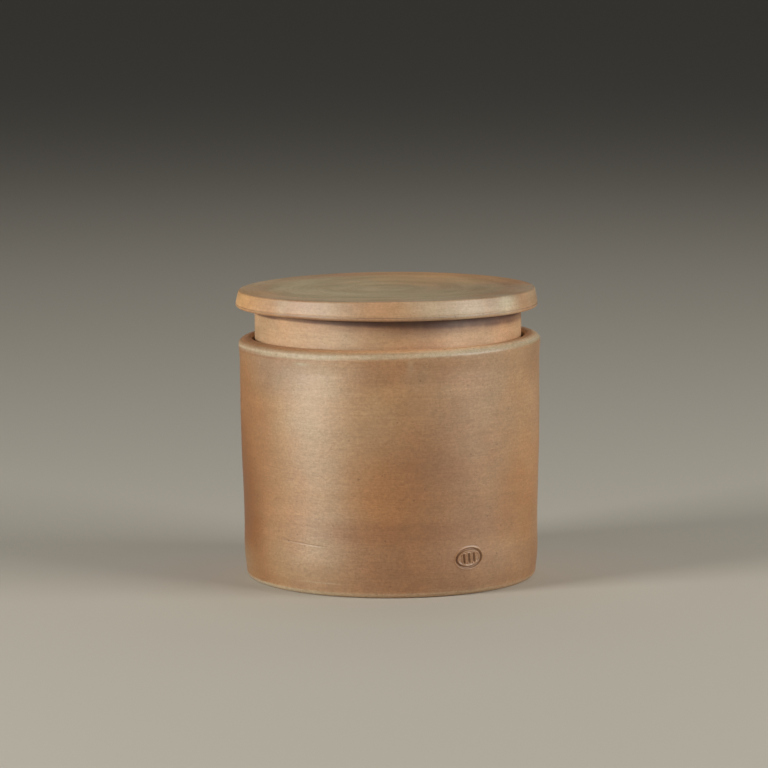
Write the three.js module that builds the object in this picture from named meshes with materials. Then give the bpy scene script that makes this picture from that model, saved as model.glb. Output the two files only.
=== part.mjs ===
// Lidded clay box, thrown on a wheel and fired in a saggar.
// It is two pieces: the jar, with a ledge inside its mouth, and the lid, a disc with a deep collar.
// The collar stands on the ledge and holds the disc above the rim, so fingers fit under it all round.
// Lengths are in millimetres and +Z is up. The origin is under the middle of the jar, on the table.

import * as THREE from 'three';

// Jar, outside
const jarHeight = 81.0;
const jarRadius = 50.0;
const baseNarrowing = 1.25; // taken off the wall's radius at the base
const narrowingHeight = 52.0; // the wall has its full radius from here up
const baseEdgeWidth = 1.7; // rounded lower edge, along the radius
const baseEdgeHeight = 1.9;
const baseHollowRadius = 38.0; // shallow turned hollow under the base
const baseHollowDepth = 1.0;
const baseHollowSlope = 2.0;

// Jar, rim
const rimSwell = 0.45; // the rim's widest ring stands out this far from the wall
const rimSwellHeight = 4.0; // from the wall up to that ring
const rimOuterRoundWidth = 3.8;
const rimOuterRoundHeight = 2.8;
const rimInnerRound = 1.1;
const mouthWall = 4.6; // between the mouth's bore and the wall's outside

// Jar, inside
const floorThickness = 5.5;
const floorFillet = 6.0;
const baseWall = 5.0;
const sideWall = 4.8;
const ledgeDepth = 12.0; // from the rim's top down to the ledge
const ledgeWidth = 3.4;
const ledgeEdgeHeight = 2.0;
const ledgeTaperHeight = 8.0;

// Lid
const fingerGap = 9.6; // from the rim's top up to the disc
const discThickness = 5.8;
const discOverhang = 0.35; // past the jar's wall
const discSideSlope = 1.2; // the disc's top edge lies this far inside its widest ring
const discTopRound = 0.5;
const discLowerRoundWidth = 0.6;
const discLowerRoundHeight = 1.4;
const collarWall = 4.0;
const collarClearance = 1.1; // round the collar, inside the mouth
const collarFootRound = 0.8;
const collarRootFillet = 3.0;
const seatClearance = 0.3; // between the collar's foot and the ledge

// Fineness of the turned surfaces
const facetsRound = 72;
const arcDivisions = 2;

// Places that follow from the sizes above
const baseRadius = jarRadius - baseNarrowing;
const rimRadius = jarRadius + rimSwell;
const rimWidestHeight = jarHeight - rimOuterRoundHeight;
const mouthRadius = jarRadius - mouthWall;
const ledgeHeight = jarHeight - ledgeDepth;
const discUnderside = jarHeight + fingerGap;
const discRadius = jarRadius + discOverhang;
const collarRadius = mouthRadius - collarClearance;
const collarFootHeight = ledgeHeight + seatClearance;

// Directions in the section, as angles from outward
const quarterTurn = Math.PI / 2;
const outward = 0;
const up = quarterTurn;
const inward = 2 * quarterTurn;
const down = -quarterTurn;

// Turns a closed outline, drawn as (radius, height), round the Z axis.
function turned(outline) {
  const geometry = new THREE.LatheGeometry(outline.getPoints(arcDivisions), facetsRound);
  return geometry.rotateX(quarterTurn);
}

// Adds a quarter of an ellipse about (radius, height), from one direction of the section to the next.
function quarter(outline, radius, height, alongRadius, alongHeight, from, to) {
  const clockwise = to < from;
  outline.absellipse(radius, height, alongRadius, alongHeight, from, to, clockwise, 0);
}

function jarOutline() {
  const sideRadius = jarRadius - sideWall;
  const floorRadius = baseRadius - baseWall;
  const ledgeRadius = mouthRadius - ledgeWidth;
  const ledgeUnderside = ledgeHeight - ledgeEdgeHeight;

  const outline = new THREE.Path();
  outline.moveTo(0, baseHollowDepth);
  outline.lineTo(baseHollowRadius - baseHollowSlope, baseHollowDepth);
  outline.lineTo(baseHollowRadius, 0);
  quarter(outline, baseRadius - baseEdgeWidth, baseEdgeHeight, baseEdgeWidth, baseEdgeHeight, down, outward);
  outline.lineTo(jarRadius, narrowingHeight);
  outline.lineTo(jarRadius, rimWidestHeight - rimSwellHeight);
  quarter(outline, rimRadius - rimOuterRoundWidth, rimWidestHeight,
    rimOuterRoundWidth, rimOuterRoundHeight, outward, up);
  quarter(outline, mouthRadius + rimInnerRound, jarHeight - rimInnerRound,
    rimInnerRound, rimInnerRound, up, inward);
  outline.lineTo(mouthRadius, ledgeHeight);
  outline.lineTo(ledgeRadius, ledgeHeight);
  outline.lineTo(ledgeRadius, ledgeUnderside);
  outline.lineTo(sideRadius, ledgeUnderside - ledgeTaperHeight);
  quarter(outline, floorRadius - floorFillet, floorThickness + floorFillet,
    floorFillet, floorFillet, outward, down);
  outline.lineTo(0, floorThickness);
  return outline;
}

function lidOutline() {
  const collarInside = collarRadius - collarWall;
  const discTop = discUnderside + discThickness;
  const discTopRadius = discRadius - discSideSlope;

  const outline = new THREE.Path();
  outline.moveTo(0, discUnderside);
  outline.lineTo(collarInside - collarRootFillet, discUnderside);
  quarter(outline, collarInside - collarRootFillet, discUnderside - collarRootFillet,
    collarRootFillet, collarRootFillet, up, outward);
  quarter(outline, collarInside + collarFootRound, collarFootHeight + collarFootRound,
    collarFootRound, collarFootRound, inward, inward + quarterTurn);
  quarter(outline, collarRadius - collarFootRound, collarFootHeight + collarFootRound,
    collarFootRound, collarFootRound, down, outward);
  outline.lineTo(collarRadius, discUnderside);
  quarter(outline, discRadius - discLowerRoundWidth, discUnderside + discLowerRoundHeight,
    discLowerRoundWidth, discLowerRoundHeight, down, outward);
  quarter(outline, discTopRadius - discTopRound, discTop - discTopRound,
    discTopRound, discTopRound, outward, up);
  outline.lineTo(0, discTop);
  return outline;
}

function clay(colour) {
  return new THREE.MeshStandardMaterial({ color: colour, roughness: 0.6, metalness: 0 });
}

const jarBody = new THREE.Mesh(turned(jarOutline()), clay(0xb08a68));
jarBody.name = 'jar_body';

const lid = new THREE.Mesh(turned(lidOutline()), clay(0xb3946f));
lid.name = 'lid';

const box = new THREE.Group();
box.add(jarBody, lid);

export default box;
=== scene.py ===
"""The looks of a lidded clay box from a saggar firing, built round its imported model.

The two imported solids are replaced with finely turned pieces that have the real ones' handmade shape and
their fired clay, and a pale floor, soft lights and a camera are set up round them.
"""

import math
from collections import namedtuple

import bpy
from bpy.props import FloatProperty, FloatVectorProperty, PointerProperty
from mathutils import Matrix, Vector, noise


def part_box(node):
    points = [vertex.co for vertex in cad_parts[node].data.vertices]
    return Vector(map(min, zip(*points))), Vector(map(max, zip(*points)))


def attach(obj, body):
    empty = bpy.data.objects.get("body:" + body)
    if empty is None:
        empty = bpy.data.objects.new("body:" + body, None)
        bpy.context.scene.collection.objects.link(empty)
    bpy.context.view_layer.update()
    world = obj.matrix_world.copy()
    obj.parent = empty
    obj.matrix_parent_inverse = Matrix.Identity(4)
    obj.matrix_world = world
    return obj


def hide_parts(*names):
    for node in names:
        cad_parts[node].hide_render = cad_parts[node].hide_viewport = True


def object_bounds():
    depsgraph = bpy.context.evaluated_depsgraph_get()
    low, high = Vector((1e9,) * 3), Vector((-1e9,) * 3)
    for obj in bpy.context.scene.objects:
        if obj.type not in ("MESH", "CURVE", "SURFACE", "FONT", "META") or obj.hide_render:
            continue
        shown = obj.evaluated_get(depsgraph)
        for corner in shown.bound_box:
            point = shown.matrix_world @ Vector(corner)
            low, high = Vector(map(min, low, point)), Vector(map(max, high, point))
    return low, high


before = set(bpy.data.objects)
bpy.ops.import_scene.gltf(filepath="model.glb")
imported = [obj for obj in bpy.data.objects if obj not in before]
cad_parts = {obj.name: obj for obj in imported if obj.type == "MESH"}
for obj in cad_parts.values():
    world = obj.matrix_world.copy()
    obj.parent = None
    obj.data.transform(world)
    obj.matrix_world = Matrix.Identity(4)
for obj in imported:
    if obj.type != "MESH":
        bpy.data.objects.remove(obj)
cad_low, cad_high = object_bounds()
jar_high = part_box("jar_body")[1]
lid_low, lid_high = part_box("lid")

bl_info = {
    "name": "Saggar-fired box",
    "version": (1, 0, 0),
    "blender": (4, 5, 0),
    "location": "View3D > Sidebar > Clay Box",
    "description": "Builds a lidded clay box, handmade and saggar-fired, round its packed model",
    "category": "Object",
}

MM = 0.001

# The jar's section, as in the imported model
BASE_EDGE_WIDTH = 1.7 * MM
BASE_EDGE_HEIGHT = 1.9 * MM
HOLLOW_RADIUS = 38.0 * MM
HOLLOW_DEPTH = 1.0 * MM
HOLLOW_SLOPE = 2.0 * MM
RIM_SWELL = 0.35 * MM
RIM_SWELL_HEIGHT = 4.0 * MM
RIM_ROUND_WIDTH = 3.8 * MM
RIM_ROUND_HEIGHT = 2.8 * MM
RIM_INNER_ROUND = 1.1 * MM
FLOOR_THICKNESS = 5.5 * MM
FLOOR_FILLET = 6.0 * MM
BASE_WALL = 5.0 * MM
SIDE_WALL = 4.8 * MM
LEDGE_DEPTH = 12.0 * MM
LEDGE_WIDTH = 3.4 * MM
LEDGE_EDGE_HEIGHT = 2.0 * MM
LEDGE_TAPER_HEIGHT = 8.0 * MM

# How far the softer corners of both sections are rounded, to each side of them
HOLLOW_ROUND = 0.9 * MM
RING_ROUND = 0.6 * MM
WALL_ROUND = 12.0 * MM
SWELL_ROUND = 2.0 * MM
WIDEST_ROUND = 0.6 * MM
SEAT_ROUND = 0.5 * MM
LEDGE_ROUND = 0.7 * MM
TAPER_ROUND = 4.0 * MM
SIDE_ROUND = 8.0 * MM
NECK_ROUND = 0.6 * MM

# Where the jar's wall strays from a straight line, and how far up and down each form reaches
FLARE_HEIGHT = 10.0 * MM
FLARE_REACH = 5.0 * MM
WAIST_HEIGHT = 27.0 * MM
WAIST_REACH = 7.0 * MM
UNDERCUT_REACH = 8.0 * MM
# How far the jar is out of round, how high the waves of its rim are, and how many a metre would hold
OUT_OF_ROUND = 0.08 * MM
RIM_WAVES = 0.12 * MM
RIM_WAVE_RATE = 18
# Over these lengths the handmade shape sets in, at the foot outside and on the wall inside
FOOT_FADE = 2.0 * MM
SIDE_FADE = 8.0 * MM

# The finger ridges inside, and how much their line wavers
FINGER_PITCH = 5.2 * MM
FINGER_WAVER = 0.7

# Traces of turning in the shape: how closely they follow each other, and the seed of their noise
JAR_BROAD_TRACES = (9.0 * MM, 3.1)
JAR_FINE_TRACES = (2.4 * MM, 7.7)
FINGER_TRACES = (4.0 * MM, 1.3)
LID_BROAD_TRACES = (5.0 * MM, 5.3)
LID_FINE_TRACES = (1.9 * MM, 2.9)
FINE_SHARE = 0.35
LID_BROAD_DEPTH = 0.035 * MM
LID_FINE_DEPTH = 0.02 * MM
TRACE_CHANGE = 0.8

# Between these distances from the axis the traces fade in
JAR_CALM = (2.0 * MM, 9.0 * MM)
LID_CALM = (1.0 * MM, 6.0 * MM)

# The long faint scratch low on the jar's wall, front left. Turns are in degrees, from the front. At
# SCRATCH_TURN it has its height, and over the span it falls to the right.
SCRATCH_HEIGHT = 17.4 * MM
SCRATCH_TURN = -46
SCRATCH_SPAN = 22
SCRATCH_FALL = 1.1 * MM
SCRATCH_FADE_IN = (-49, -42)
SCRATCH_FADE_OUT = (-30, -22)
SCRATCH_REACH = 0.2 * MM
SCRATCH_DEPTH = 0.045 * MM
SCRATCH_MARGIN = 0.5 * MM
# Painted shade along the scratch's upper flank: how dark it is, and how far above the scratch's middle it
# lies
SCRATCH_SHADE = 0.45
SCRATCH_SHADE_RISE = 0.08 * MM

# The pressed mark's lip and the painted shade in its groove, in widths of its groove, and how dark that
# shade is
LIP_PLACE = 2.3
LIP_REACH = 0.8
PIT_REACH = 0.8
PIT_STRENGTH = 0.55

# The lid's section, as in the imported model
COLLAR_WALL = 4.0 * MM
COLLAR_FOOT_ROUND = 0.8 * MM
COLLAR_ROOT_FILLET = 3.0 * MM

# The line over the disc's lower edge, and the lengths over which the dish and the disc's shift set in
EDGE_LINE_PLACE = 0.87 * MM
EDGE_LINE_REACH = 0.2 * MM
DISH_FADE = 4.0 * MM
SHIFT_FADE = 3.0 * MM

# How closely the meshes follow their sections
WALL_STEP = 0.75 * MM
EDGE_STEP = 0.5 * WALL_STEP
HIDDEN_STEP = 1.4 * MM
FLAT_STEP = 2.4 * MM
CURVE_STEP = 0.3 * MM
FEWEST_ON_CURVE = 4
MOST_ON_CURVE = 12
LOWER_EDGE_BENDS = 22
TURN_STEP = math.radians(1.6)
LID_TURN_STEP = 0.85 * TURN_STEP
MARK_STEP = 0.15 * MM
MARK_MARGIN = 1.2 * MM
TINY = 1e-7
TINY_SLOPE = 1e-9

# Noise in the clay: how much of it a metre holds, its detail and its roughness
Texture = namedtuple("Texture", "scale detail rough")
CLOUDS = Texture(22, 3.0, 0.55)
SMALL_CLOUDS = Texture(95, 3.0, 0.6)
MOTTLE = Texture(130, 2.0, 0.5)
GRAIN = Texture(1150, 2.0, 0.55)
FINE_GRAIN = Texture(2600, 1.0, 0.5)

# Noise drawn out round the piece, as traces of turning: how much of it a metre along the section and a
# metre round the piece hold, its detail and its roughness
Streaks = namedtuple("Streaks", "along around detail rough")
FINE_STREAKS = Streaks(1500, 60, 2.0, 0.6)
BURNISH = Streaks(2400, 500, 2.0, 0.55)

# The clay of each piece: its lowest roughness, the broad streaks and how dark they are, and how strongly
# the grain shows
Finish = namedtuple("Finish", "rough streaks streak_depth coarseness")
JAR_FINISH = Finish(0.38, Streaks(290, 40, 3.0, 0.6), 0.03, 1.0)
LID_FINISH = Finish(0.49, Streaks(130, 40, 3.0, 0.6), 0.14, 0.75)

# Noise between the first two numbers is carried to the next two, or else to 0 and 1. This is for the
# orange, the rings, the roughness, the shading, the mottling, the grain and where strong specks gather.
FLASHED = (0.42, 0.66, 0.0, 0.6)
BROKEN = (0.35, 0.6, 0.7, 1.0)
CLOUDED = (0.35, 0.65)
SHADED = (0.3, 0.7, 1.04, 0.95)
MOTTLED = (0.3, 0.7)
GRAINED = (0.25, 0.75)
GATHERED = (0.38, 0.48)

# How dark and pale the grain and the traces are, and how much more so in green and in blue
FINE_STREAK_DEPTH = 0.045
BURNISH_DEPTH = 0.08
GRAIN_DEPTH = 0.1
FINE_GRAIN_DEPTH = 0.05
GRAIN_TINT = (1.0, 1.2, 1.6)
# What the mottling multiplies the colour with
WARM_CAST = (1.02, 0.993, 0.965)
COOL_CAST = (0.985, 1.007, 1.02)

# Specks: how many cells a metre holds, where a speck ends as shares of a cell, and how dark it is
Specks = namedtuple("Specks", "scale core edge strength")
FAINT_SPECKS = Specks(760, 0.06, 0.2, 0.35)
STRONG_SPECKS = Specks(240, 0.03, 0.11, 0.45)

# How far a ring's edges wave, and how a patch frays and fades, in shares of its reach
RING_WAVES = 0.4 * MM
PATCH_FRAY = 0.9
PATCH_CORE = 0.5
PATCH_END = 1.55

# How rough the clay gets in places, how its fine relief is made up, and how it shines
ROUGHNESS_CHANGE = 0.08
RELIEF_OF_STREAKS = 0.3
RELIEF_OF_GRAIN = 0.7
RELIEF_STRENGTH = 0.6
RELIEF_HEIGHT = 0.05 * MM
SHINE_IOR = 1.58
SHINE_LEVEL = 0.95

# How high the middle of the foot's rounding lies, and a length past any end of a section, in millimetres
FOOT_MIDDLE = 0.5
BEYOND = 1000
# Lines along the rim rise to the right, and the painted shadow under the disc and its soft edge sink to
# the right
RIM_SLANT = 0.017
PENUMBRA_SLANT = -0.015
SHADOW_SLANT = -0.03
# The colours on the disc's side have their middle this far below the top, as a share of its thickness
SIDE_MIDDLE = 0.45

# The round floor
FLOOR_RADIUS = 9.0
FLOOR_EDGES = 96
FLOOR_ROUGHNESS = 0.85

# The lamps: turns from the front to the right and heights in degrees, distances and sizes in metres
Lamp = namedtuple("Lamp", "name turn height distance width tall")
KEY_LAMP = Lamp("key_lamp", -60, 14.5, 1.2, 0.42, 0.3)
SIDE_LAMP = Lamp("side_lamp", 68, 20, 1.2, 0.8, 0.5)
BACK_LAMP = Lamp("back_lamp", 180, 60, 1.5, 1.2, 1.2)
LAMP_COLOUR = (1.0, 0.985, 0.93)
ROOM_COLOUR = (1.0, 0.99, 0.97)

# The camera's angles, and the height of the point in the box from which its place is given
CAMERA_PITCH = math.radians(7.3769)
CAMERA_YAW = math.radians(-0.0690)
CAMERA_ROLL = math.radians(-0.1425)
CAMERA_POINT_HEIGHT = 45 * MM
SENSOR_WIDTH = 36
CLIP_START = 0.05
CLIP_END = 60

# A named corner of a section. It is rounded over before and after, step is the longest step up to it,
# and bends is the number of points on its curve, or 0 where the curve's length decides.
Corner = namedtuple("Corner", "name radius height before after step bends", defaults=(0,))
# A point of a section, the direction out of the surface there, and how far along the section it lies
SectionPoint = namedtuple("SectionPoint", "radius height out_radius out_height along")
# Colour between two places along a section, in millimetres. edge is how soft its ends are, rough is what
# it adds to the roughness, within is the area in which it shows, and slant is how much further along it
# lies for each step to the right.
Ring = namedtuple("Ring", "low high edge colour strength rough within slant", defaults=(0, None, 0))
# Colour round a spot on the wall, at a turn in degrees from the front to the right. Lengths are in
# millimetres.
Patch = namedtuple("Patch", "turn height across tall colour strength")


# Settings

def linear(red, green, blue):
    """A colour in Blender's own light values, from the 0 to 255 that a screen shows."""
    shares = [part / 255 for part in (red, green, blue)]
    return tuple(s / 12.92 if s <= 0.04045 else ((s + 0.055) / 1.055) ** 2.4 for s in shares)


def colour_setting(name, description, red, green, blue):
    colour = linear(red, green, blue)
    return FloatVectorProperty(
        name=name, description=description, default=colour, subtype="COLOR", min=0, max=1
    )


def length_setting(name, description, default):
    return FloatProperty(name=name, description=description, default=default, unit="LENGTH", precision=5)


def angle_setting(name, description, degrees):
    angle = math.radians(degrees)
    return FloatProperty(name=name, description=description, default=angle, subtype="ANGLE")


def power_setting(name, description, default):
    return FloatProperty(name=name, description=description, default=default, unit="POWER")


class JarSettings(bpy.types.PropertyGroup):
    """The jar's driving sizes, and how far the handmade one strays from a true turned shape."""

    height: length_setting("Height", "From the table to the rim's top", jar_high.z)
    rim_radius: length_setting("Rim radius", "The widest ring, under the rim's top", jar_high.x - 0.1 * MM)
    mouth_radius: length_setting("Mouth radius", "The bore that the lid's collar goes into", 45.4 * MM)
    base_narrowing: length_setting("Base narrowing", "Taken off the wall's radius at the base", 1.25 * MM)
    narrowing_height: length_setting("Narrowing height", "Above it the wall is straight", 52.0 * MM)
    base_shift: length_setting("Base shift", "The base's middle lies this far to the right", 0.8 * MM)
    lean: angle_setting("Lean", "How far the wall leans to the left", 0.375)
    rim_tilt: angle_setting("Rim tilt", "How far the rim's plane rises to the right", 0.69)
    bore_shift: length_setting("Bore shift", "The mouth's bore lies this far left of the rim", 0.33 * MM)
    waist: length_setting("Waist", "How far the wall draws in a third of the way up", 0.13 * MM)
    flare: length_setting("Flare", "How far the wall swells out again just above the base", 0.22 * MM)
    undercut: length_setting("Undercut", "How far the wall draws in just over its lower edge", 0.4 * MM)
    throwing: length_setting("Throwing", "How deep the thrower's finger traces are outside", 0.05 * MM)
    ridges: length_setting("Ridges", "How deep the spiral finger ridges are inside", 0.22 * MM)


class LidSettings(bpy.types.PropertyGroup):
    """The lid's driving sizes, and how far the handmade one strays from a true turned shape."""

    top: length_setting("Top", "From the table to the disc's top", lid_high.z + 0.2 * MM)
    disc_radius: length_setting("Disc radius", "The disc's widest ring", lid_high.x + 0.25 * MM)
    disc_thickness: length_setting("Disc thickness", "Between the disc's two faces", 6.0 * MM)
    side_slope: length_setting("Side slope", "From the widest ring in to the top edge", 1.2 * MM)
    top_round: length_setting("Top rounding", "Of the disc's upper edge", 0.45 * MM)
    lower_round_width: length_setting("Lower rounding, width", "Of the disc's lower edge", 1.0 * MM)
    lower_round_height: length_setting("Lower rounding, height", "Of the disc's lower edge", 1.6 * MM)
    collar_radius: length_setting("Collar radius", "Outside of the collar", 44.45 * MM)
    collar_foot: length_setting("Collar foot", "From the table to the collar's lower end", lid_low.z)
    disc_shift: length_setting("Disc shift", "The disc's middle lies this far to the left", 0.63 * MM)
    collar_shift: length_setting("Collar shift", "The collar's middle lies this far to the left", 0.2 * MM)
    top_tilt: angle_setting("Top tilt", "How far the disc's top rises to the right", 0.5)
    saddle: length_setting("Saddle", "How far the top's front and back rise and its sides sink", 0.24 * MM)
    dish: length_setting("Dish", "How far the disc's top sinks towards its middle", 0.25 * MM)
    edge_line: length_setting("Edge line", "How deep the line over the disc's lower edge is", 0.12 * MM)


class MarkSettings(bpy.types.PropertyGroup):
    """A plain mark pressed into the wall: an oval ring round three upright strokes."""

    turn: angle_setting("Turn", "From the front round to the right", 31)
    height: length_setting("Height", "From the table to the mark's middle", 12.3 * MM)
    width: length_setting("Width", "Of the oval", 9.6 * MM)
    depth_of_oval: length_setting("Oval height", "Of the oval", 6.0 * MM)
    tilt: angle_setting("Tilt", "How far the right end is raised", 4)
    groove: length_setting("Groove", "How deep the mark is pressed", 0.42 * MM)
    groove_width: length_setting("Groove width", "From the groove's middle to its side", 0.27 * MM)
    lip: length_setting("Lip", "How far the clay rises beside the groove", 0.19 * MM)


class ClaySettings(bpy.types.PropertyGroup):
    """The colours that the firing left on the clay, some also used as painted shade and light. Most of
    them are laid thinly over others.
    """

    tan: colour_setting("Tan", "The clay where little smoke reached it", 173, 135, 97)
    orange: colour_setting("Orange", "Flashed clay", 168, 114, 64)
    # Brown is also painted shade: low on the jar, over the lid top's right part, on the disc's lower
    # rounding and on the collar under the disc.
    brown: colour_setting("Brown", "Clay that took up smoke and salt", 143, 93, 54)
    scorched: colour_setting("Scorched", "The dark flash on the jar's left side", 142, 86, 24)
    burnt: colour_setting("Burnt", "The darkest part of that flash", 122, 64, 0)
    dull: colour_setting("Dull", "Greyer clay, under the left part of the rim", 146, 122, 102)
    # Besides the strong specks' real colour, this paints the shadow right under the lid's overhang.
    shade_and_specks: colour_setting("Smoked", "Right under the lid's overhang, and the strong specks", 90, 42, 2)
    # Peach and fresh on the rim's top are partly its colour and partly painted light where the collar
    # shades it.
    peach: colour_setting("Peach", "The rim's top, the lid's outer ring, and warm spots", 206, 156, 112)
    fresh: colour_setting("Fresh", "The rim's top in front", 234, 182, 134)
    # Pale also paints light: on the rim's right edge, and as a painted highlight on the left of the lid's
    # top.
    pale: colour_setting("Pale", "The rim's edge on the right, and the lid's palest places", 246, 218, 180)
    golden: colour_setting("Golden", "Warm clay on the lid's left end and its far edge", 214, 160, 98)
    rust: colour_setting("Rust", "The left part of the rim's top", 160, 112, 76)
    # Ash also paints highlight along the key lamp's highlight on the jar's left.
    ash: colour_setting("Ash", "Pale clay on the edges and in soft patches", 200, 178, 146)
    bloom: colour_setting("Bloom", "The grey-green line round the rim, and spots like it", 190, 180, 152)
    olive: colour_setting("Olive", "The cast on top of the lid and low on the jar's left", 186, 167, 126)
    sheltered: colour_setting("Sheltered", "Inside and underneath, where few fumes came", 184, 150, 112)
    # Dark also paints shade: in the mark's groove, under the foot's rounding, in the line over the disc's
    # lower edge and under the lid's overhang.
    dark: colour_setting("Dark", "Faint specks, the mark's bottom, and the darkest lines", 84, 56, 38)


class StageSettings(bpy.types.PropertyGroup):
    """The floor, the lamps and the camera."""

    floor: colour_setting("Floor", "The pale floor", 208, 202, 190)
    key_power: power_setting("Key power", "Of the lamp on the left", 11.8)
    side_power: power_setting("Side power", "Of the lamp on the right", 9.8)
    back_power: power_setting("Back power", "Of the lamp high behind", 2.9)
    room: FloatProperty(name="Room light", description="Its strength", default=0.05, min=0)
    camera_distance: length_setting("Camera distance", "From a point near the box's middle", 1.3)
    camera_height: angle_setting("Camera height", "Angle above that point", 8.2094)
    lens: FloatProperty(name="Lens", description="Focal length in millimetres", default=181.837, min=1)


class BoxSettings(bpy.types.PropertyGroup):
    """Everything that a user can set."""

    jar: PointerProperty(type=JarSettings)
    lid: PointerProperty(type=LidSettings)
    mark: PointerProperty(type=MarkSettings)
    clay: PointerProperty(type=ClaySettings)
    stage: PointerProperty(type=StageSettings)


# Small measures that the shapes share

def smooth(value, low, high):
    """0 below low and 1 above high, with a soft change between them."""
    share = min(1.0, max(0.0, (value - low) / (high - low)))
    return share * share * (3 - 2 * share)


def swell(value, middle, reach):
    """1 at the middle, falling softly to nothing past reach on both sides."""
    return math.exp(-(((value - middle) / reach) ** 2))


# Sections and the meshes turned from them

def straight(start, end, step):
    """Points after start, up to end, at most a step apart."""
    length = (end - start).length
    if length < TINY:
        return []
    count = math.ceil(length / step)
    return [start.lerp(end, i / count) for i in range(1, count + 1)]


def bend(start, corner, end, bends):
    """Points after start on a quarter of an ellipse that touches both sides of a corner.

    bends is how many there are, or 0 where their number follows from the curve's length.
    """
    length = (corner - start).length + (end - corner).length
    if length < TINY:
        return []
    count = bends or min(MOST_ON_CURVE, max(FEWEST_ON_CURVE, math.ceil(length / CURVE_STEP)))
    centre = start + end - corner
    points = []
    for i in range(1, count + 1):
        turn = math.pi / 2 * i / count
        points.append(centre + (start - centre) * math.cos(turn) + (end - centre) * math.sin(turn))
    return points


def section_of(corners):
    """Closely spaced points along rounded corners, and how far along them each named corner lies."""
    spots = [Vector((corner.radius, corner.height)) for corner in corners]
    line = [spots[0]]
    middles = {corners[0].name: 0}
    for i in range(1, len(corners)):
        corner = corners[i]
        start = spots[i] + (spots[i - 1] - spots[i]).normalized() * corner.before
        line += straight(line[-1], start, corner.step)
        curve = []
        if i + 1 < len(corners):
            end = spots[i] + (spots[i + 1] - spots[i]).normalized() * corner.after
            curve = bend(start, spots[i], end, corner.bends)
        middles[corner.name] = len(line) - 1 + len(curve) // 2
        line += curve
    points = []
    along = 0.0
    for i, spot in enumerate(line):
        ahead = line[min(i + 1, len(line) - 1)]
        behind = line[max(i - 1, 0)]
        way = (ahead - behind).normalized()
        along += (spot - behind).length
        points.append(SectionPoint(spot.x, spot.y, way.y, -way.x, along))
    return points, {name: points[i].along for name, i in middles.items()}


def added_object(name, data):
    thing = bpy.data.objects.new(name, data)
    bpy.context.scene.collection.objects.link(thing)
    return thing


def turned_piece(name, points, angles, place, shades):
    """A closed piece, turned from a section whose first and last points lie on the axis.

    place(point, angle) says where a point goes. shades holds a function like it for each value that the
    material reads from the mesh.
    """
    spots = [(points[0], 0.0)]
    for point in points[1:-1]:
        spots += [(point, angle) for angle in angles]
    spots.append((points[-1], 0.0))

    count = len(angles)
    last = len(spots) - 1
    rings = [1 + i * count for i in range(len(points) - 2)]
    faces = []
    for turn in range(count):
        following = (turn + 1) % count
        faces.append((0, rings[0] + following, rings[0] + turn))
        for low, high in zip(rings, rings[1:]):
            faces.append((low + turn, low + following, high + following, high + turn))
        faces.append((rings[-1] + turn, rings[-1] + following, last))

    mesh = bpy.data.meshes.new(name)
    mesh.from_pydata([place(*spot) for spot in spots], [], faces)
    for shade, value in shades.items():
        attribute = mesh.attributes.new(shade, "FLOAT", "POINT")
        attribute.data.foreach_set("value", [value(*spot) for spot in spots])
    mesh.shade_smooth()
    return added_object(name, mesh)


def even_turns(start, end, step):
    """Angles from start up to, and without, end."""
    count = math.ceil((end - start) / step)
    return [start + (end - start) * i / count for i in range(count)]


def turned_place(point, angle, stray, relief):
    """Where a point of the section goes, moved outwards by stray and out of the surface by relief."""
    radius = point.radius + stray + point.out_radius * relief
    height = point.height + point.out_height * relief
    return Vector((radius * math.cos(angle), radius * math.sin(angle), height))


def turning_traces(along, angle, pitch, seed):
    """Soft unevenness that runs round a turned piece, between about -1 and 1."""
    across = TRACE_CHANGE * math.cos(angle) + seed
    return noise.noise(Vector((across, TRACE_CHANGE * math.sin(angle), along / pitch)))


# The jar

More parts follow.
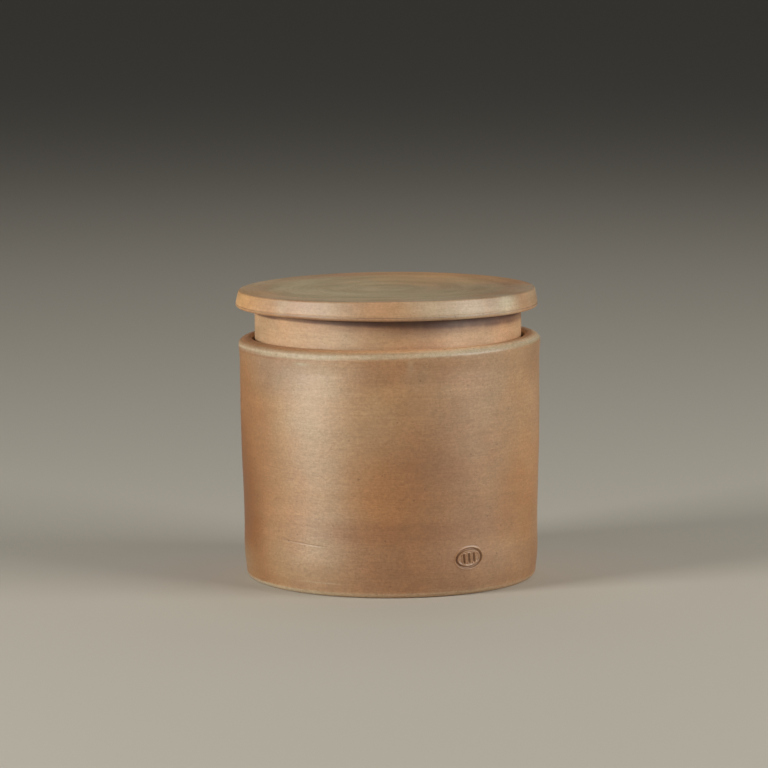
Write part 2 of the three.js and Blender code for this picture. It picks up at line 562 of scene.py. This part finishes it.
def jar_section(jar, mark):
    """The jar's outline, from under its middle, up outside, over the rim and down to the floor inside."""
    wall = jar.rim_radius - RIM_SWELL
    base = wall - jar.base_narrowing
    hollow_flat = HOLLOW_RADIUS - HOLLOW_SLOPE
    fine_low = mark.height - mark.depth_of_oval / 2 - MARK_MARGIN
    fine_high = SCRATCH_HEIGHT + SCRATCH_MARGIN
    widest = jar.height - RIM_ROUND_HEIGHT
    rim_round = RIM_ROUND_HEIGHT - WIDEST_ROUND
    ledge = jar.height - LEDGE_DEPTH
    ledge_low = ledge - LEDGE_EDGE_HEIGHT
    ledge_radius = jar.mouth_radius - LEDGE_WIDTH
    side = wall - SIDE_WALL

    def wall_at(height):
        share = (height - BASE_EDGE_HEIGHT) / (jar.narrowing_height - BASE_EDGE_HEIGHT)
        return base + (wall - base) * share

    return section_of([
        Corner("underside", 0, HOLLOW_DEPTH, 0, 0, 0),
        Corner("hollow", hollow_flat, HOLLOW_DEPTH, HOLLOW_ROUND, HOLLOW_ROUND, FLAT_STEP),
        Corner("ring", HOLLOW_RADIUS, 0, RING_ROUND, RING_ROUND, HIDDEN_STEP),
        Corner("foot", base, 0, BASE_EDGE_WIDTH, BASE_EDGE_HEIGHT, FLAT_STEP),
        Corner("fine_low", wall_at(fine_low), fine_low, 0, 0, WALL_STEP),
        Corner("fine_high", wall_at(fine_high), fine_high, 0, 0, MARK_STEP),
        Corner("straight", wall, jar.narrowing_height, WALL_ROUND, WALL_ROUND, WALL_STEP),
        Corner("swell", wall, widest - RIM_SWELL_HEIGHT, SWELL_ROUND, SWELL_ROUND, WALL_STEP),
        Corner("widest", jar.rim_radius, widest, WIDEST_ROUND, WIDEST_ROUND, EDGE_STEP),
        Corner("rim", jar.rim_radius, jar.height, rim_round, RIM_ROUND_WIDTH, WALL_STEP),
        Corner("lip", jar.mouth_radius, jar.height, RIM_INNER_ROUND, RIM_INNER_ROUND, WALL_STEP),
        Corner("seat", jar.mouth_radius, ledge, SEAT_ROUND, SEAT_ROUND, HIDDEN_STEP),
        Corner("ledge", ledge_radius, ledge, LEDGE_ROUND, LEDGE_ROUND, HIDDEN_STEP),
        Corner("ledge_low", ledge_radius, ledge_low, LEDGE_ROUND, LEDGE_ROUND, HIDDEN_STEP),
        Corner("side", side, ledge_low - LEDGE_TAPER_HEIGHT, TAPER_ROUND, SIDE_ROUND, HIDDEN_STEP),
        Corner("floor", base - BASE_WALL, FLOOR_THICKNESS, FLOOR_FILLET, FLOOR_FILLET, HIDDEN_STEP),
        Corner("middle", 0, FLOOR_THICKNESS, 0, 0, FLAT_STEP),
    ])


def distance_to_oval(across, up, half_width, half_height):
    """Signed distance to an oval, true near its line."""
    ring = math.hypot(across / half_width, up / half_height)
    slope = math.hypot(across / half_width ** 2, up / half_height ** 2)
    return (ring - 1) * ring / slope if slope > TINY_SLOPE else -half_height


def distance_to_mark(angle, height, mark, wall):
    """How far a place on the wall is from the nearest line of the pressed mark.

    The strokes lie a fifth of the oval's width apart, and reach a fifth of its height up and down.
    """
    turn = angle + math.pi / 2 - mark.turn
    turn = (turn + math.pi) % (2 * math.pi) - math.pi
    across = turn * wall
    up = height - mark.height
    if abs(across) > mark.width or abs(up) > mark.depth_of_oval:
        return mark.width
    level = across * math.cos(mark.tilt) + up * math.sin(mark.tilt)
    upright = up * math.cos(mark.tilt) - across * math.sin(mark.tilt)
    nearest = abs(distance_to_oval(level, upright, mark.width / 2, mark.depth_of_oval / 2))
    stroke_gap = mark.width / 5
    half_stroke = mark.depth_of_oval / 5
    for place in (-stroke_gap, 0, stroke_gap):
        beyond = max(0.0, abs(upright) - half_stroke)
        nearest = min(nearest, math.hypot(level - place, beyond))
    return nearest


def pressed(distance, mark):
    """The mark's groove and the lip beside it, as a height over the wall."""
    groove = mark.groove * swell(distance, 0, mark.groove_width)
    lip = mark.lip * swell(distance, LIP_PLACE * mark.groove_width, LIP_REACH * mark.groove_width)
    return lip - groove


def scratched(angle, height):
    """How strongly a place takes part in the long faint scratch."""
    turn = math.degrees(angle) + 90
    turn = (turn + 180) % 360 - 180
    length = smooth(turn, *SCRATCH_FADE_IN) * (1 - smooth(turn, *SCRATCH_FADE_OUT))
    middle = SCRATCH_HEIGHT - (turn - SCRATCH_TURN) / SCRATCH_SPAN * SCRATCH_FALL
    return length * swell(height, middle, SCRATCH_REACH)


def fired_jar(jar, mark):
    """The jar with its handmade shape, its traces of turning and its pressed mark."""
    points, reached = jar_section(jar, mark)
    wall = jar.rim_radius - RIM_SWELL
    halfway = 0.5 * jar.height

    def stray(point, angle):
        outer = smooth(point.along, reached["ring"], reached["foot"] - FOOT_FADE)
        outer *= 1 - smooth(point.along, reached["rim"], reached["lip"])
        shape = jar.flare * swell(point.height, FLARE_HEIGHT, FLARE_REACH)
        shape -= jar.waist * swell(point.height, WAIST_HEIGHT, WAIST_REACH)
        shape -= jar.undercut * (1 - smooth(point.height, 0, UNDERCUT_REACH))
        return outer * (shape + OUT_OF_ROUND * math.sin(2 * angle))

    def relief(point, angle):
        outside = smooth(point.along, reached["foot"], reached["foot"] + FOOT_FADE)
        outside *= 1 - smooth(point.along, reached["rim"], reached["lip"])
        inside = smooth(point.along, reached["side"], reached["side"] + SIDE_FADE)
        shape = jar.throwing * turning_traces(point.along, angle, *JAR_BROAD_TRACES)
        shape += FINE_SHARE * jar.throwing * turning_traces(point.along, angle, *JAR_FINE_TRACES)
        if outside > 0 and point.height < halfway:
            shape -= SCRATCH_DEPTH * scratched(angle, point.height)
            shape += pressed(distance_to_mark(angle, point.height, mark, wall), mark)
        finger = math.sin(2 * math.pi * point.along / FINGER_PITCH - angle)
        finger += FINGER_WAVER * turning_traces(point.along, angle, *FINGER_TRACES)
        fade = smooth(point.radius, *JAR_CALM)
        return outside * shape + inside * fade * jar.ridges * finger

    def place(point, angle):
        spot = turned_place(point, angle, stray(point, angle), relief(point, angle))
        lift = smooth(spot.z, jar.height - LEDGE_DEPTH, jar.height)
        waves = RIM_WAVES * noise.noise(spot * RIM_WAVE_RATE)
        spot.z += lift * (spot.x * math.tan(jar.rim_tilt) + waves)
        spot.x += jar.base_shift - spot.z * math.tan(jar.lean)
        spot.x -= jar.bore_shift * smooth(point.along, reached["rim"], reached["lip"])
        return spot

    # Painted shade in the mark's groove and along the scratch
    def pit(point, angle):
        if point.height > halfway or point.along > reached["rim"]:
            return 0.0
        distance = distance_to_mark(angle, point.height, mark, wall)
        groove = swell(distance, 0, PIT_REACH * mark.groove_width)
        return max(groove, SCRATCH_SHADE * scratched(angle, point.height - SCRATCH_SHADE_RISE))

    fine_half = (mark.width / 2 + MARK_MARGIN) / wall
    fine_middle = mark.turn - math.pi / 2
    angles = even_turns(fine_middle - fine_half, fine_middle + fine_half, MARK_STEP / wall)
    angles += even_turns(fine_middle + fine_half, fine_middle - fine_half + 2 * math.pi, TURN_STEP)
    shades = {"along": lambda point, angle: point.along, "pit": pit}
    return turned_piece("fired_jar", points, angles, place, shades), reached


# The lid

def lid_section(lid):
    """The lid's outline, from the middle under the disc, down and round the collar, and over the disc."""
    underside = lid.top - lid.disc_thickness
    outside = lid.collar_radius
    inside = outside - COLLAR_WALL
    top_radius = lid.disc_radius - lid.side_slope
    low_width = lid.lower_round_width
    low_height = lid.lower_round_height
    return section_of([
        Corner("under", 0, underside, 0, 0, 0),
        Corner("root", inside, underside, COLLAR_ROOT_FILLET, COLLAR_ROOT_FILLET, FLAT_STEP),
        Corner("foot_in", inside, lid.collar_foot, COLLAR_FOOT_ROUND, COLLAR_FOOT_ROUND, HIDDEN_STEP),
        Corner("foot_out", outside, lid.collar_foot, COLLAR_FOOT_ROUND, COLLAR_FOOT_ROUND, HIDDEN_STEP),
        Corner("neck", outside, underside, NECK_ROUND, NECK_ROUND, WALL_STEP),
        Corner("lower", lid.disc_radius, underside, low_width, low_height, WALL_STEP, LOWER_EDGE_BENDS),
        Corner("upper", top_radius, lid.top, lid.top_round, lid.top_round, EDGE_STEP),
        Corner("middle", 0, lid.top, 0, 0, WALL_STEP),
    ])


def fired_lid(lid):
    """The lid with its handmade shape and its traces of turning."""
    points, reached = lid_section(lid)
    underside = lid.top - lid.disc_thickness

    def relief(point, angle):
        fade = smooth(point.radius, *LID_CALM)
        shape = LID_BROAD_DEPTH * turning_traces(point.along, angle, *LID_BROAD_TRACES)
        shape += LID_FINE_DEPTH * turning_traces(point.along, angle, *LID_FINE_TRACES)
        on_top = smooth(point.along, reached["upper"], reached["upper"] + DISH_FADE)
        dish = on_top * lid.dish * (1 - (point.radius / lid.disc_radius) ** 2)
        line = lid.edge_line * swell(point.along, reached["lower"] + EDGE_LINE_PLACE, EDGE_LINE_REACH)
        return fade * shape - dish - line

    def place(point, angle):
        spot = turned_place(point, angle, 0, relief(point, angle))
        share = smooth(point.height, underside - SHIFT_FADE, underside)
        rise = min(1.0, max(0.0, (point.height - underside) / lid.disc_thickness))
        saddle = lid.saddle * (spot.y ** 2 - spot.x ** 2) / lid.disc_radius ** 2
        spot.z += rise * (spot.x * math.tan(lid.top_tilt) + saddle)
        spot.x -= lid.collar_shift + share * (lid.disc_shift - lid.collar_shift)
        return spot

    angles = even_turns(0, 2 * math.pi, LID_TURN_STEP)
    shades = {"along": lambda point, angle: point.along}
    return turned_piece("fired_lid", points, angles, place, shades), reached


# Materials

def add(tree, kind, inputs=(), **options):
    """Adds a node, sets its options, and sets or links its inputs."""
    node = tree.nodes.new(kind)
    for option, value in options.items():
        setattr(node, option, value)
    for socket, value in dict(inputs).items():
        if isinstance(value, bpy.types.NodeSocket):
            tree.links.new(value, node.inputs[socket])
        else:
            node.inputs[socket].default_value = value
    return node


def calculated(tree, operation, first, second=0.0, third=0.0):
    """A number from one, two or three others."""
    return add(tree, "ShaderNodeMath", {0: first, 1: second, 2: third}, operation=operation).outputs[0]


def times(tree, first, second):
    return calculated(tree, "MULTIPLY", first, second)


def mixed(tree, share, first, second, way="MIX"):
    """A colour between two others."""
    inputs = {0: share, 6: first, 7: second}
    return add(tree, "ShaderNodeMix", inputs, data_type="RGBA", blend_type=way).outputs[2]


def ranged(tree, value, low, high, from_share=0.0, to_share=1.0):
    """A value softly carried from low and high to two shares."""
    inputs = {"Value": value, 1: low, 2: high, 3: from_share, 4: to_share}
    return add(tree, "ShaderNodeMapRange", inputs, interpolation_type="SMOOTHSTEP").outputs[0]


def cloudy(tree, place, texture):
    """Noise between 0 and 1."""
    inputs = {
        "Vector": place, "Scale": texture.scale, "Detail": texture.detail, "Roughness": texture.rough
    }
    return add(tree, "ShaderNodeTexNoise", inputs).outputs[0]


def streaky(tree, place, along, streaks):
    """Noise that changes fast along the section and slowly round the piece, for traces of turning."""
    parts = add(tree, "ShaderNodeSeparateXYZ", {0: place})
    inputs = {
        0: times(tree, parts.outputs[0], streaks.around),
        1: times(tree, parts.outputs[1], streaks.around),
        2: times(tree, along, streaks.along),
    }
    drawn_out = add(tree, "ShaderNodeCombineXYZ", inputs).outputs[0]
    return cloudy(tree, drawn_out, Texture(1.0, streaks.detail, streaks.rough))


def mesh_value(tree, name):
    """A value that the mesh holds for each of its points."""
    return add(tree, "ShaderNodeAttribute", attribute_name=name).outputs["Fac"]


def solid(colour):
    """A colour for a socket, which takes a fourth number."""
    return (*colour, 1.0)


def speckled(tree, place, specks):
    """1 in scattered dots and 0 between them."""
    inputs = {"Vector": place, "Scale": specks.scale}
    cells = add(tree, "ShaderNodeTexVoronoi", inputs).outputs["Distance"]
    return ranged(tree, cells, specks.core, specks.edge, 1.0, 0.0)


def ring_share(tree, place, along, ring):
    """How strongly a ring shows, from how far along the section a place lies."""
    if ring.slant:
        across = add(tree, "ShaderNodeSeparateXYZ", {0: place}).outputs[0]
        along = calculated(tree, "MULTIPLY_ADD", across, -ring.slant, along)
    low = ring.low * MM
    high = ring.high * MM
    edge = ring.edge * MM
    rise = ranged(tree, along, low - edge, low + edge)
    fall = ranged(tree, along, high - edge, high + edge, ring.strength, 0.0)
    return times(tree, rise, fall)


def patch_share(tree, place, cloud, patch, wall):
    """How strongly a patch shows, from how far away its middle on the wall lies."""
    angle = math.radians(patch.turn - 90)
    spot = (wall * math.cos(angle), wall * math.sin(angle), patch.height * MM)
    squeeze = (1, 1, patch.across / patch.tall)
    reach = patch.across * MM
    away = add(tree, "ShaderNodeVectorMath", {0: place, 1: spot}, operation="SUBTRACT").outputs[0]
    away = add(tree, "ShaderNodeVectorMath", {0: away, 1: squeeze}, operation="MULTIPLY").outputs[0]
    away = add(tree, "ShaderNodeVectorMath", {0: away}, operation="LENGTH").outputs["Value"]
    frayed = calculated(tree, "MULTIPLY_ADD", cloud, PATCH_FRAY * reach, away)
    return ranged(tree, frayed, PATCH_CORE * reach, PATCH_END * reach, patch.strength, 0.0)


def grained(tree, colour, texture, depth):
    """A colour with darker and paler grains, of which the paler ones are greyer too."""
    shares = [depth * tint for tint in GRAIN_TINT]
    darker = solid([1 - share for share in shares])
    paler = solid([1 + share for share in shares])
    grains = mixed(tree, ranged(tree, texture, *GRAINED), darker, paler)
    return mixed(tree, 1.0, colour, grains, "MULTIPLY")


def clay_material(name, clay, layers, wall, finish, marked=False):
    """Burnished clay, with the rings and patches that a saggar firing left, and painted shade and light,
    laid over each other.

    wall is the radius on which the patches lie. marked says that the mesh holds the painted shade of the
    pressed mark's groove and of the scratch.
    """
    material = bpy.data.materials.new(name)
    material.use_nodes = True
    tree = material.node_tree
    tree.nodes.clear()
    place = add(tree, "ShaderNodeTexCoord").outputs["Object"]
    along = mesh_value(tree, "along")

    # The fired colours, and how rough they are
    clouds = cloudy(tree, place, CLOUDS)
    small_clouds = cloudy(tree, place, SMALL_CLOUDS)
    wavy = calculated(tree, "ADD", along, times(tree, small_clouds, RING_WAVES))
    broken = ranged(tree, small_clouds, *BROKEN)
    rough = ranged(tree, clouds, *CLOUDED, finish.rough, finish.rough + ROUGHNESS_CHANGE)
    colour = mixed(tree, ranged(tree, clouds, *FLASHED), solid(clay.tan), solid(clay.orange))
    for layer in layers:
        if isinstance(layer, Ring):
            share = times(tree, ring_share(tree, place, wavy, layer), broken)
            if layer.within:
                inside = patch_share(tree, place, clouds, layer.within, wall)
                share = times(tree, share, inside)
            if layer.rough:
                rough = calculated(tree, "ADD", rough, times(tree, share, layer.rough))
        else:
            share = patch_share(tree, place, clouds, layer, wall)
        colour = mixed(tree, share, colour, solid(layer.colour))
    colour = mixed(tree, 1.0, colour, ranged(tree, small_clouds, *SHADED), "MULTIPLY")
    mottle = ranged(tree, cloudy(tree, place, MOTTLE), *MOTTLED)
    cast = mixed(tree, mottle, solid(WARM_CAST), solid(COOL_CAST))
    colour = mixed(tree, 1.0, colour, cast, "MULTIPLY")

    # Traces of turning and grain
    broad_streaks = streaky(tree, place, along, finish.streaks)
    fine_streaks = streaky(tree, place, along, FINE_STREAKS)
    burnish = streaky(tree, place, along, BURNISH)
    grain = cloudy(tree, place, GRAIN)
    fine_grain = cloudy(tree, place, FINE_GRAIN)
    colour = grained(tree, colour, broad_streaks, finish.streak_depth)
    colour = grained(tree, colour, fine_streaks, FINE_STREAK_DEPTH)
    colour = grained(tree, colour, burnish, BURNISH_DEPTH * finish.coarseness)
    colour = grained(tree, colour, grain, GRAIN_DEPTH * finish.coarseness)
    colour = grained(tree, colour, fine_grain, FINE_GRAIN_DEPTH * finish.coarseness)

    # Specks, of which the strong ones gather in places, and painted shade in the mark's groove and along
    # the scratch
    faint = times(tree, speckled(tree, place, FAINT_SPECKS), FAINT_SPECKS.strength)
    strong = speckled(tree, place, STRONG_SPECKS)
    strong = times(tree, strong, ranged(tree, small_clouds, *GATHERED))
    colour = mixed(tree, faint, colour, solid(clay.dark))
    strong_share = times(tree, strong, STRONG_SPECKS.strength)
    colour = mixed(tree, strong_share, colour, solid(clay.shade_and_specks))
    if marked:
        pit = times(tree, mesh_value(tree, "pit"), PIT_STRENGTH)
        colour = mixed(tree, pit, colour, solid(clay.dark))

    # Fine relief and shine
    height = calculated(tree, "MULTIPLY_ADD", fine_streaks, RELIEF_OF_STREAKS, burnish)
    height = calculated(tree, "MULTIPLY_ADD", grain, RELIEF_OF_GRAIN, height)
    height = calculated(tree, "SUBTRACT", height, strong)
    inputs = {"Strength": RELIEF_STRENGTH, "Distance": RELIEF_HEIGHT, "Height": height}
    bump = add(tree, "ShaderNodeBump", inputs).outputs[0]
    inputs = {"Base Color": colour, "Roughness": rough, "Normal": bump}
    surface = add(tree, "ShaderNodeBsdfPrincipled", inputs)
    surface.inputs["IOR"].default_value = SHINE_IOR
    surface.inputs["Specular IOR Level"].default_value = SHINE_LEVEL
    add(tree, "ShaderNodeOutputMaterial", {"Surface": surface.outputs[0]})
    return material


# What the firing left on each piece, with painted shade and light, in the order in which it is laid on

def area(turn, height, across):
    """A round patch without a colour, in which a ring shows."""
    return Patch(turn, height, across, across, None, 1)


def jar_layers(clay, reached):
    """Rings and patches on the jar. Patches lie at heights over the table."""
    foot = reached["foot"] / MM
    table = foot - FOOT_MIDDLE
    rim = reached["rim"] / MM
    lip = reached["lip"] / MM
    end = reached["middle"] / MM
    under_the_rim = area(8, 76, 34)
    far_left_of_the_rim = area(-72, 78, 26)
    left_of_the_rim = area(-66, 78, 52)
    right_of_the_rim = area(19, 78, 52)
    far_right_of_the_rim = area(50, 78, 46)
    left_of_the_foot = area(-52, 5, 42)
    low_on_the_left = area(-29, 5, 12)
    low_in_the_middle = area(12, 22, 50)
    return [
        # Painted shade, darkening the wall towards its foot
        Ring(foot + 1.4, table + 13, 4, clay.brown, 0.4, 0.03),
        Ring(table + 15, table + 32, 6, clay.brown, 0.35, within=low_in_the_middle),
        # Painted shade, darkening the wall's lowest part
        Ring(foot + 1.4, table + 5, 2, clay.brown, 0.38),
        Patch(-1, 33, 17, 20, clay.orange, 1),
        Patch(13, 40, 23, 26, clay.brown, 0.7),
        Patch(12, 30, 28, 20, clay.orange, 0.3),
        Patch(4, 11, 36, 18, clay.brown, 0.6),
        # Painted highlight: paler clay along the key lamp's highlight, low on the left
        Patch(-28, 27, 17, 18, clay.ash, 0.2),
        Patch(54, 10, 22, 12, clay.ash, 0.13),
        Patch(-36, 9, 24, 12, clay.olive, 0.25),
        Patch(-90, 36, 47, 76, clay.scorched, 1),
        Patch(-90, 32, 32, 44, clay.burnt, 0.8),
        Patch(-80, 6, 18, 8, clay.olive, 0.25),
        Patch(-17, 74, 16, 8, clay.ash, 0.3),
        Patch(66, 62, 18, 11, clay.peach, 0.3),
        Patch(76, 74, 16, 12, clay.brown, 0.35),
        Patch(72, 34, 30, 26, clay.orange, 0.7),
        Patch(70, 44, 17, 20, clay.peach, 0.3),
        Patch(10, 72, 7, 5, clay.bloom, 0.25),
        # Painted highlight: paler clay along the key lamp's highlight, high on the left
        Patch(-32, 64, 18, 30, clay.ash, 0.35),
        Patch(-46, 74, 22, 12, clay.dull, 0.55),
        Patch(8.2, 75.9, 1.8, 3.8, clay.bloom, 0.35),
        Patch(-34, 75.9, 5, 0.9, clay.bloom, 0.5),
        Ring(table + 4.6, table + 4.8, 0.12, clay.bloom, 0.5, within=low_on_the_left),
        Ring(table + 19, table + 25.5, 2, clay.brown, 0.55, within=low_in_the_middle),
        Ring(table + 70, table + 78, 2, clay.brown, 0.6, within=under_the_rim),
        Patch(31, 72, 13, 9, clay.peach, 0.25),
        Ring(-BEYOND, foot - 1.5, 1, clay.sheltered, 0.85, 0.15),
        Ring(foot - 0.3, foot + 1.5, 0.3, clay.ash, 0.35, 0.05),
        Ring(foot - 0.3, foot + 1.2, 0.3, clay.bloom, 0.6, 0.05, left_of_the_foot),
        # Painted shade on the underside of the foot's rounding
        Ring(foot - 2.6, foot - 0.4, 0.5, clay.dark, 0.4, 0.1),
        # The peach and fresh rings on the rim's top are partly its colour and partly painted light where
        # the collar shades it
        Ring(rim + 0.2, lip + 1, 0.5, clay.peach, 0.9, 0.1),
        Ring(rim + 0.4, lip + 1, 0.5, clay.rust, 0.75, within=left_of_the_rim),
        Ring(rim + 0.2, lip + 1, 0.6, clay.fresh, 0.85, within=right_of_the_rim),
        Ring(rim - 1.0, rim + 0.6, 0.5, clay.ash, 0.4, 0.3, None, RIM_SLANT),
        # Partly the rim's colour and partly painted light: its right edge made paler where it faces up
        Ring(rim - 1.5, rim + 0.9, 0.5, clay.pale, 0.6, 0.3, far_right_of_the_rim, RIM_SLANT),
        Ring(rim - 2.2, rim - 0.5, 0.45, clay.bloom, 0.55, 0.3, None, RIM_SLANT),
        Ring(rim - 2.9, rim - 2.5, 0.3, clay.brown, 0.5, 0, left_of_the_rim, RIM_SLANT),
        Ring(rim - 2.5, rim - 1.3, 0.4, clay.brown, 0.6, 0, far_left_of_the_rim, RIM_SLANT),
        Ring(lip + 1, end + BEYOND, 1.2, clay.sheltered, 0.9, 0.15),
    ]


def lid_layers(clay, lid, reached):
    """Rings and patches on the lid. Patches lie at heights over the table."""
    top = lid.top / MM
    side = top - SIDE_MIDDLE * lid.disc_thickness / MM
    neck = reached["neck"] / MM
    lower = reached["lower"] / MM
    upper = reached["upper"] / MM
    end = reached["middle"] / MM
    under_the_disc = area(18, side, 88)
    front_of_the_top = area(-6, top, 74)
    return [
        Ring(upper + 0.2, end + BEYOND, 0.4, clay.peach, 0.6, 0.05),
        Ring(upper + 10, end + BEYOND, 3, clay.olive, 0.95, 0.05),
        Ring(upper + 1.6, end + BEYOND, 1, clay.olive, 0.9, within=front_of_the_top),
        # Painted shade over the right part of the top
        Patch(90, top, 64, 12, clay.brown, 0.48),
        Patch(72, top, 16, 12, clay.ash, 0.5),
        Patch(88, top, 15, 12, clay.bloom, 0.5),
        # Painted highlight over the left half of the top
        Patch(-90, top, 72, 12, clay.pale, 0.12),
        Patch(-120, top, 44, 12, clay.olive, 0.5),
        Patch(150, top, 52, 12, clay.golden, 0.7),
        # Painted shade on the disc's lower right rounding
        Patch(86, side - 2, 12, 7, clay.brown, 0.4),
        Patch(-72, side, 20, 12, clay.golden, 0.6),
        Patch(-62, side, 12, 10, clay.peach, 0.3),
        Patch(-44, side, 5, 8, clay.bloom, 0.25),
        Patch(-20, side, 19, 12, clay.ash, 0.4),
        Patch(0, side, 24, 12, clay.peach, 0.4),
        Patch(22, side, 20, 11, clay.ash, 0.65),
        Patch(36, side, 14, 11, clay.ash, 0.4),
        Patch(52, side, 10, 9, clay.bloom, 0.8),
        Patch(50.5, side - 1, 5, 7, clay.pale, 0.2),
        Ring(-BEYOND, lower - 1.2, 0.8, clay.sheltered, 0.9, 0.1),
        Patch(-50, top - 18, 30, 20, clay.peach, 0.35),
        # Painted shade on the collar's front, under the disc
        Patch(-8, top - 13, 14, 14, clay.brown, 0.2),
        Patch(20, top - 17, 30, 10, clay.peach, 0.6),
        Patch(40, top - 15, 20, 9, clay.pale, 0.3),
        # Painted shadow on the collar just under the disc, and painted shade below it
        Patch(13, top - 8.6, 18, 4.6, clay.dark, 0.6),
        Patch(15, top - 13, 14, 10, clay.brown, 0.32),
        Patch(-20, top - 15, 14, 12, clay.ash, 0.25),
        Patch(48, top - 15, 12, 12, clay.ash, 0.3),
        Patch(62, top - 18, 26, 20, clay.peach, 0.8),
        # Painted shadow under the disc's overhang: a soft brown edge, a thin dark line all round, and a
        # dark band that reaches lower towards the right
        Ring(neck - 3.8, lower - 0.9, 2, clay.brown, 0.72, 0, under_the_disc, PENUMBRA_SLANT),
        Ring(neck - 1.5, lower - 0.6, 0.35, clay.shade_and_specks, 0.75),
        Ring(neck - 2.2, lower - 0.4, 0.7, clay.shade_and_specks, 0.95, 0, under_the_disc, SHADOW_SLANT),
        # Painted shade on the disc's lower rounding, and in the line over it
        Ring(lower - 0.5, lower + 0.6, 0.3, clay.brown, 0.35),
        Ring(lower + 0.72, lower + 1.02, 0.12, clay.dark, 0.5),
    ]


# Operators, one for each piece and one for the stage

def settings_of(context):
    return context.scene.clay_box


class CLAYBOX_OT_jar(bpy.types.Operator):
    """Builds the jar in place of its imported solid"""

    bl_idname = "claybox.jar"
    bl_label = "Build jar"

    def execute(self, context):
        box = settings_of(context)
        wall = box.jar.rim_radius - RIM_SWELL
        piece, reached = fired_jar(box.jar, box.mark)
        layers = jar_layers(box.clay, reached)
        material = clay_material("jar_clay_fired", box.clay, layers, wall, JAR_FINISH, marked=True)
        piece.data.materials.append(material)
        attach(piece, "jar")
        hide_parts("jar_body")
        return {"FINISHED"}


class CLAYBOX_OT_lid(bpy.types.Operator):
    """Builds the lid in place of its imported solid"""

    bl_idname = "claybox.lid"
    bl_label = "Build lid"

    def execute(self, context):
        box = settings_of(context)
        piece, reached = fired_lid(box.lid)
        layers = lid_layers(box.clay, box.lid, reached)
        material = clay_material("lid_clay_fired", box.clay, layers, box.lid.disc_radius, LID_FINISH)
        piece.data.materials.append(material)
        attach(piece, "lid")
        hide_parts("lid")
        return {"FINISHED"}


def soft_lamp(lamp, power, aim):
    """A large flat lamp that looks at the box."""
    data = bpy.data.lights.new(lamp.name, "AREA")
    data.shape = "RECTANGLE"
    data.size = lamp.width
    data.size_y = lamp.tall
    data.energy = power
    data.color = LAMP_COLOUR
    side = math.radians(lamp.turn)
    up = math.radians(lamp.height)
    away = Vector((math.sin(side) * math.cos(up), -math.cos(side) * math.cos(up), math.sin(up)))
    placed = added_object(lamp.name, data)
    placed.location = aim + away * lamp.distance
    placed.rotation_euler = away.to_track_quat("Z", "Y").to_euler()


def plain_floor(colour):
    """A large round floor that the box stands on."""
    mesh = bpy.data.meshes.new("floor")
    edge = []
    for i in range(FLOOR_EDGES):
        turn = 2 * math.pi * i / FLOOR_EDGES
        edge.append((FLOOR_RADIUS * math.cos(turn), FLOOR_RADIUS * math.sin(turn), 0))
    mesh.from_pydata(edge, [], [tuple(range(FLOOR_EDGES))])
    floor = added_object("floor", mesh)
    material = bpy.data.materials.new("floor_paper")
    material.use_nodes = True
    surface = material.node_tree.nodes["Principled BSDF"]
    surface.inputs["Base Color"].default_value = solid(colour)
    surface.inputs["Roughness"].default_value = FLOOR_ROUGHNESS
    mesh.materials.append(material)


def photograph_camera(stage):
    """The camera, at the photograph's distance, height and viewing angle."""
    data = bpy.data.cameras.new("camera")
    data.sensor_width = SENSOR_WIDTH
    data.lens = stage.lens
    data.clip_start = CLIP_START
    data.clip_end = CLIP_END
    camera = added_object("camera", data)
    point = Vector((0, 0, CAMERA_POINT_HEIGHT))
    back = Vector((0, -math.cos(stage.camera_height), math.sin(stage.camera_height)))
    turned = Matrix.Rotation(-CAMERA_YAW, 4, "Z") @ Matrix.Rotation(math.pi / 2 - CAMERA_PITCH, 4, "X")
    turned = turned @ Matrix.Rotation(CAMERA_ROLL, 4, "Z")
    camera.matrix_world = Matrix.Translation(point + back * stage.camera_distance) @ turned
    bpy.context.scene.camera = camera


class CLAYBOX_OT_stage(bpy.types.Operator):
    """Sets up the pale floor, the soft lamps and the camera"""

    bl_idname = "claybox.stage"
    bl_label = "Set up stage"

    def execute(self, context):
        stage = settings_of(context).stage
        middle = (cad_low + cad_high) / 2
        plain_floor(stage.floor)
        soft_lamp(KEY_LAMP, stage.key_power, middle)
        soft_lamp(SIDE_LAMP, stage.side_power, middle)
        soft_lamp(BACK_LAMP, stage.back_power, middle)
        world = bpy.data.worlds.new("room")
        world.use_nodes = True
        background = world.node_tree.nodes["Background"]
        background.inputs["Color"].default_value = solid(ROOM_COLOUR)
        background.inputs["Strength"].default_value = stage.room
        context.scene.world = world
        context.scene.view_settings.view_transform = "Standard"
        photograph_camera(stage)
        return {"FINISHED"}


class CLAYBOX_PT_panel(bpy.types.Panel):
    """Lists the box's operators and settings in the sidebar"""

    bl_idname = "CLAYBOX_PT_panel"
    bl_label = "Clay Box"
    bl_space_type = "VIEW_3D"
    bl_region_type = "UI"
    bl_category = "Clay Box"

    def draw(self, context):
        layout = self.layout
        box = settings_of(context)
        for operator in PIECE_OPERATORS:
            layout.operator(operator.bl_idname)
        for group in (box.jar, box.lid, box.mark, box.clay, box.stage):
            column = layout.box().column()
            for name in group.bl_rna.properties.keys():
                if name not in ("name", "rna_type"):
                    column.prop(group, name)


PIECE_OPERATORS = (CLAYBOX_OT_jar, CLAYBOX_OT_lid, CLAYBOX_OT_stage)
CLASSES = (
    JarSettings,
    LidSettings,
    MarkSettings,
    ClaySettings,
    StageSettings,
    BoxSettings,
    *PIECE_OPERATORS,
    CLAYBOX_PT_panel,
)


def register():
    for made in CLASSES:
        bpy.utils.register_class(made)
    bpy.types.Scene.clay_box = PointerProperty(type=BoxSettings)


def unregister():
    del bpy.types.Scene.clay_box
    for made in reversed(CLASSES):
        bpy.utils.unregister_class(made)


def main():
    register()
    bpy.ops.claybox.jar()
    bpy.ops.claybox.lid()
    bpy.ops.claybox.stage()


if __name__ == "__main__":
    main()
